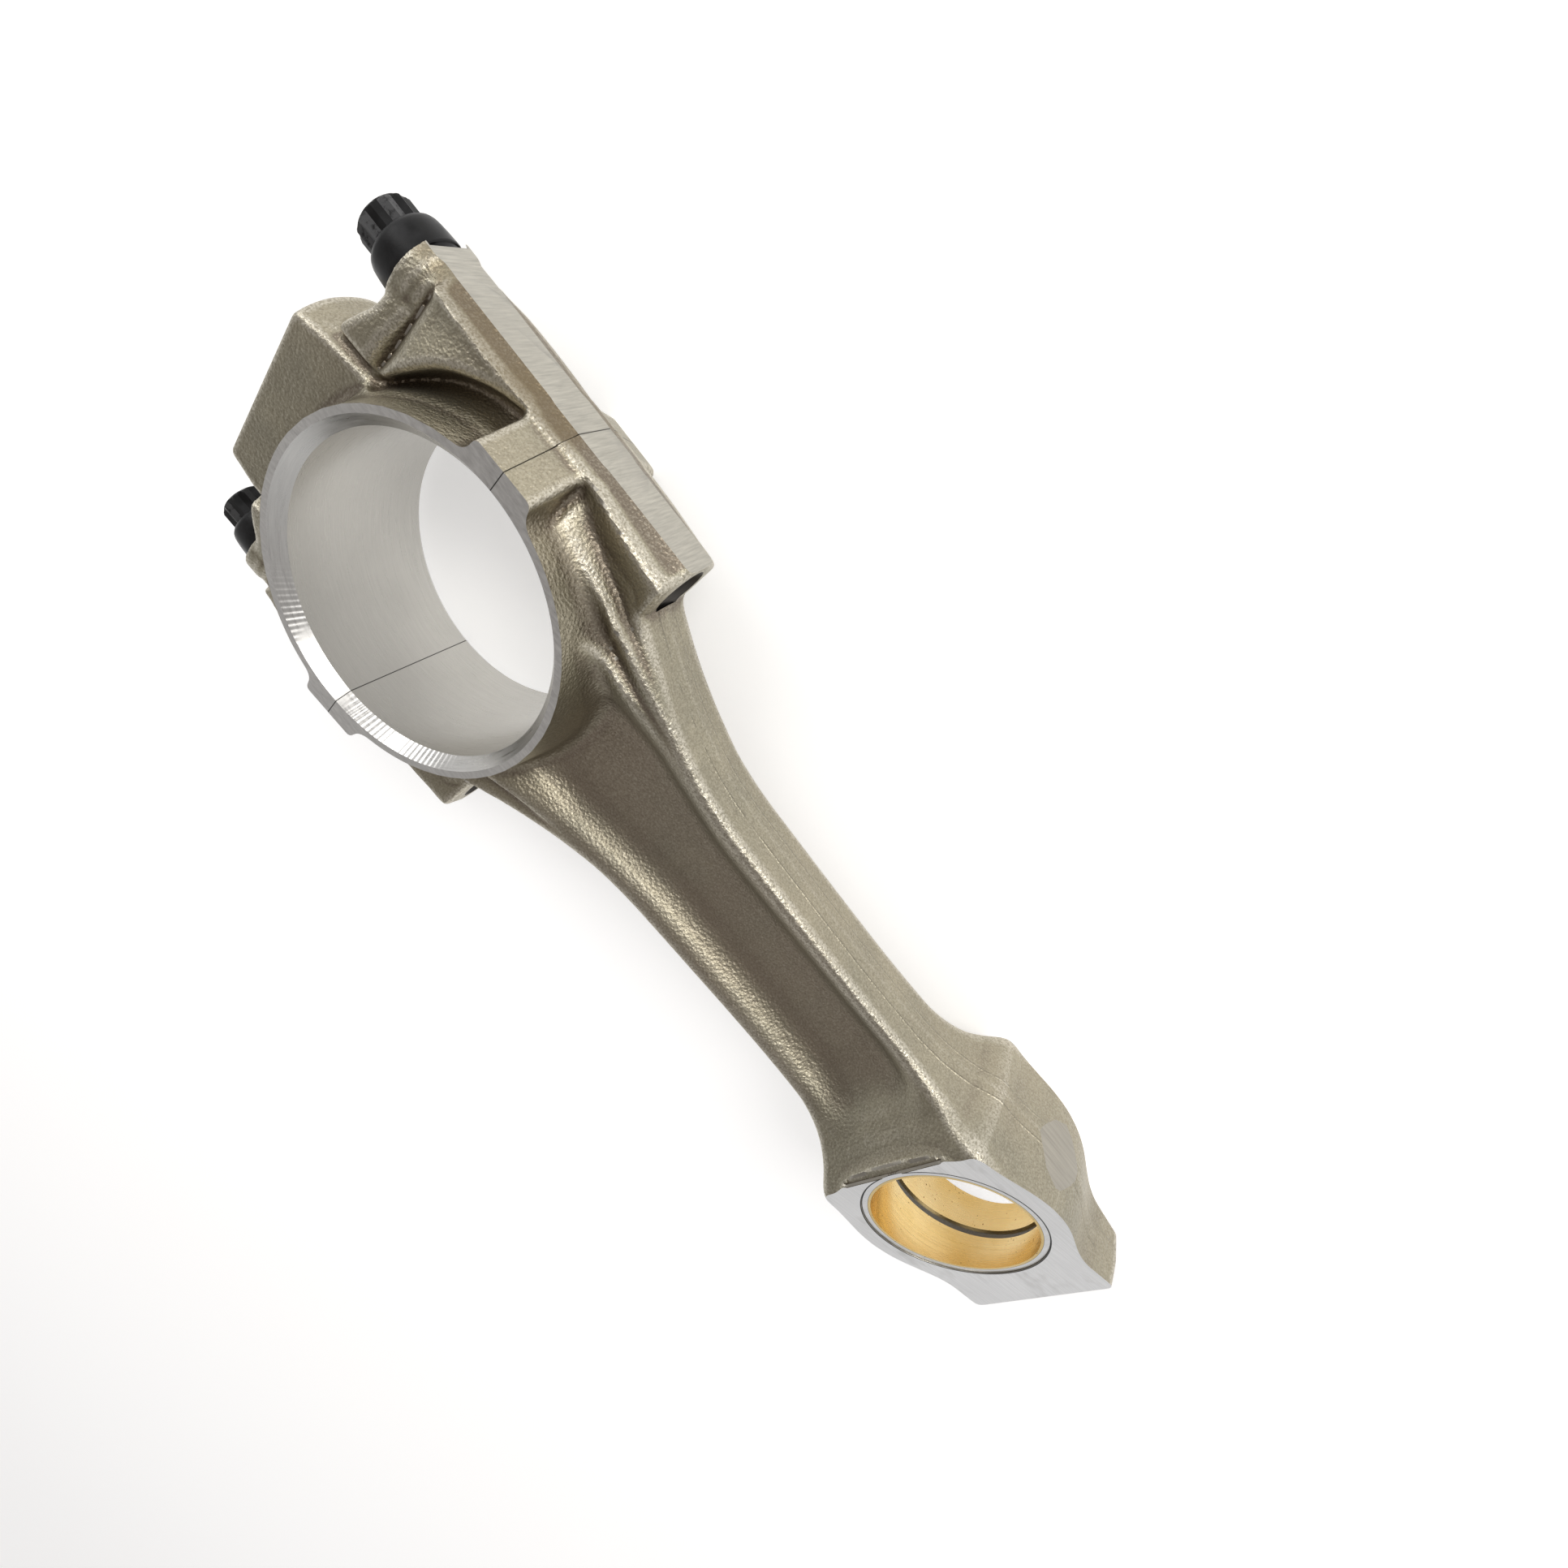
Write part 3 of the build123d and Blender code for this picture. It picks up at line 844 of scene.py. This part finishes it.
# The flange and the neck below it: distance above the seat, radius
COLLAR = [(11.0, 10.8), (10.0, 11.2), (8.4, 11.45), (5.9, 11.7), (2.9, 11.86), (1.8, 11.88),
          (1.4, 11.7), (1.2, 11.2), (0.6, 11.0), (0.0, 10.9), (0.0, 6.9), (-0.6, 6.65),
          (-2.6, 6.6)]


def head_outline(angle):
    """Radius of the twelve-point head: two hexagons turned half a step apart."""
    sector = pi / 6
    from_corner = abs((angle + sector / 2) % sector - sector / 2)
    return HEAD_FLATS / 2 / cos(pi / 6 - from_corner)


def screw_stations():
    """(x, radius, whether that only limits the twelve-point outline) down to the thread."""
    top = SCREW_TOP
    rows = [(top + 0.9, 0.01, False), (top + 0.9, 3.6, False), (top + 0.1, 4.7, False),
            (top, 5.4, False), (top, 7.0, False),
            (top + 0.35, 7.9, True), (top + 0.9, 8.5, True), (top + 1.5, HEAD_CORNER_R, True)]
    rows += [(x, HEAD_CORNER_R, True) for x in np.linspace(top + 3.0, SPLINE_END - 0.8, 4)]
    rows += [(SPLINE_END - 0.3, HEAD_CORNER_R, True), (SPLINE_END + 0.2, 9.3, False),
             (SPLINE_END + 0.6, 10.2, False)]
    rows += [(-SEAT_X - above, radius, False) for above, radius in COLLAR]
    return rows + [(THREAD_START - 1.4, 6.6, False), (THREAD_START, 6.2, False)]


def thread_radius(x, angle):
    """The M14 thread: a vee with flat crests and roots, running out at both ends."""
    turn = (x / PITCH - angle / (2 * pi)) % 1.0
    depth = 0.92 * max(0.0, 1.0 - abs(2.0 * turn - 1.0) * 1.25)
    run_out = min(1.0, max(0.0, (x - THREAD_START) / 2.0), max(0.0, (SCREW_TIP - x) / 2.2))
    return ROOT_R + min(depth, 0.8) * 1.08 * run_out


def make_screw(name, side):
    """One cap screw; side is 1 or -1."""
    angles = [2 * pi * i / TURNS for i in range(TURNS)]
    rows = []
    for x, radius, shaped in screw_stations():
        rows.append((x, [min(head_outline(t), radius) if shaped else radius for t in angles]))
    for x in np.arange(THREAD_START + 0.2, SCREW_TIP - 0.2, PITCH / 8):
        rows.append((x, [thread_radius(x, t) for t in angles]))
    rows += [(SCREW_TIP, [radius] * TURNS) for radius in (5.0, 0.01)]
    points = [(x, radius * cos(t) + side * SCREW_Y, radius * sin(t))
              for x, radii in rows for radius, t in zip(radii, angles)]
    screw = add_mesh(name, points, tube_faces(len(rows), TURNS))
    finish_mesh(screw, 24)
    mesh = screw.data
    # a few of the head's flats are rubbed
    rng = np.random.default_rng(7 if side > 0 else 11)
    flat_wear = (rng.random(24) > 0.72) * rng.uniform(0.5, 1.0, 24)
    layer = mesh.attributes.new("worn", "FLOAT", "FACE")
    worn = []
    for face in mesh.polygons:
        centre = face.center / MM
        angle = atan2(centre.z, centre.y - side * SCREW_Y)
        index = int((angle % (2 * pi)) / (pi / 12)) % 24
        on_head = SCREW_TOP + 1.0 < centre.x < SPLINE_END - 0.3
        worn.append(float(flat_wear[index]) if on_head else 0.03)
    layer.data.foreach_set("value", np.array(worn, np.float32))
    mesh.materials.append(BLACK)
    return screw


# ---------------------------------------------------------------- the pieces

STEEL = steel_materials()
BLACK = black_material()

rod = forged_rod()
cap = forged_cap()
for piece, field in ((rod, rod_field), (cap, cap_field)):
    finish_mesh(piece)
    classify(piece, field)
    mark_wear_and_painted_light(piece, field)
screw_right = make_screw("screw_right_body", 1)
screw_left = make_screw("screw_left_body", -1)
for piece, node, body, slot in (
        (rod, "rod_forging", "rod", "forged_steel"),
        (cap, "rod_cap", "cap", "forged_steel"),
        (screw_right, "cap_screw_right", "screw_right", "black_steel"),
        (screw_left, "cap_screw_left", "screw_left", "black_steel")):
    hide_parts(node)
    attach(piece, body)


def paint_node(name, mat):
    """Puts one material on every slot of a CAD node."""
    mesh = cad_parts[name].data
    if not mesh.materials:
        mesh.materials.append(mat)
    for i in range(len(mesh.materials)):
        mesh.materials[i] = mat


paint_node("pin_bush_backing", backing_material())
paint_node("pin_bush_lining", bronze_material())

# ---------------------------------------------------------------- camera, floor and light

CAMERA = Vector((81.0, 200.4, 215.51)) * MM
RIGHT = Vector((0.62170904, 0.67592322, -0.39573435))
DOWN = Vector((0.774737, -0.45640673, 0.43757912))
FORWARD = Vector((0.11515407, -0.57863693, -0.80741491))

camera_data = bpy.data.cameras.new("camera")
camera_data.sensor_width = 36.0
camera_data.lens = 36.0 * 1062.0 / 1932.0
camera_data.clip_start = 0.005
camera = bpy.data.objects.new("camera", camera_data)
aim = Matrix((RIGHT, -DOWN, -FORWARD)).transposed()
camera.matrix_world = Matrix.Translation(CAMERA) @ aim.to_4x4()
bpy.context.scene.collection.objects.link(camera)
bpy.context.scene.camera = camera

FLOOR_HALF = 30000
FLOOR_TOP = -31.2              # just under the rear ring face

floor = block("floor", (-FLOOR_HALF, -FLOOR_HALF, -34), (FLOOR_HALF, FLOOR_HALF, FLOOR_TOP))
floor_paint = Paint("pale_floor", (0.95, 0.95, 0.95), 0.0, 0.8)
floor_paint.roughness(floor_paint.spread(floor_paint.noise(8.0), 0.3, 0.7, 0.65, 0.8))
floor_paint.shader.inputs["Emission Color"].default_value = (1, 1, 1, 1)
floor_paint.shader.inputs["Emission Strength"].default_value = 0.42
floor.data.materials.append(floor_paint.mat)


def area_light(name, place, target, size, power, color=(1, 1, 1)):
    """A soft light at place, turned to target."""
    data = bpy.data.lights.new(name, "AREA")
    data.shape = "RECTANGLE"
    data.size, data.size_y = size
    data.energy = power
    data.color = color
    obj = bpy.data.objects.new(name, data)
    obj.location = place
    obj.rotation_euler = (Vector(target) - Vector(place)).to_track_quat("-Z", "Y").to_euler()
    bpy.context.scene.collection.objects.link(obj)


MIDDLE = (0.1, 0, 0)
area_light("key", (0.2, 2.6, 1.7), MIDDLE, (1.5, 1.5), 40, (1.0, 0.99, 0.97))
area_light("fill", (-1.9, 1.0, 1.3), MIDDLE, (1.2, 1.2), 14)

# a white horizon under a darker ceiling, so that the steel has something to reflect
world = bpy.data.worlds.new("studio")
world.use_nodes = True
sky = world.node_tree
split = sky.nodes.new("ShaderNodeSeparateXYZ")
sky.links.new(sky.nodes.new("ShaderNodeTexCoord").outputs["Generated"], split.inputs[0])
ramp = sky.nodes.new("ShaderNodeValToRGB")
sky.links.new(split.outputs[2], ramp.inputs[0])
ramp.color_ramp.interpolation = "EASE"
ramp.color_ramp.elements[0].position = 0.1
ramp.color_ramp.elements[0].color = (1, 1, 1, 1)
ramp.color_ramp.elements[1].position = 0.95
ramp.color_ramp.elements[1].color = (0.39, 0.365, 0.35, 1)
sky.links.new(ramp.outputs[0], sky.nodes["Background"].inputs["Color"])
sky.nodes["Background"].inputs["Strength"].default_value = 0.75
bpy.context.scene.world = world
bpy.context.scene.view_settings.view_transform = "Standard"
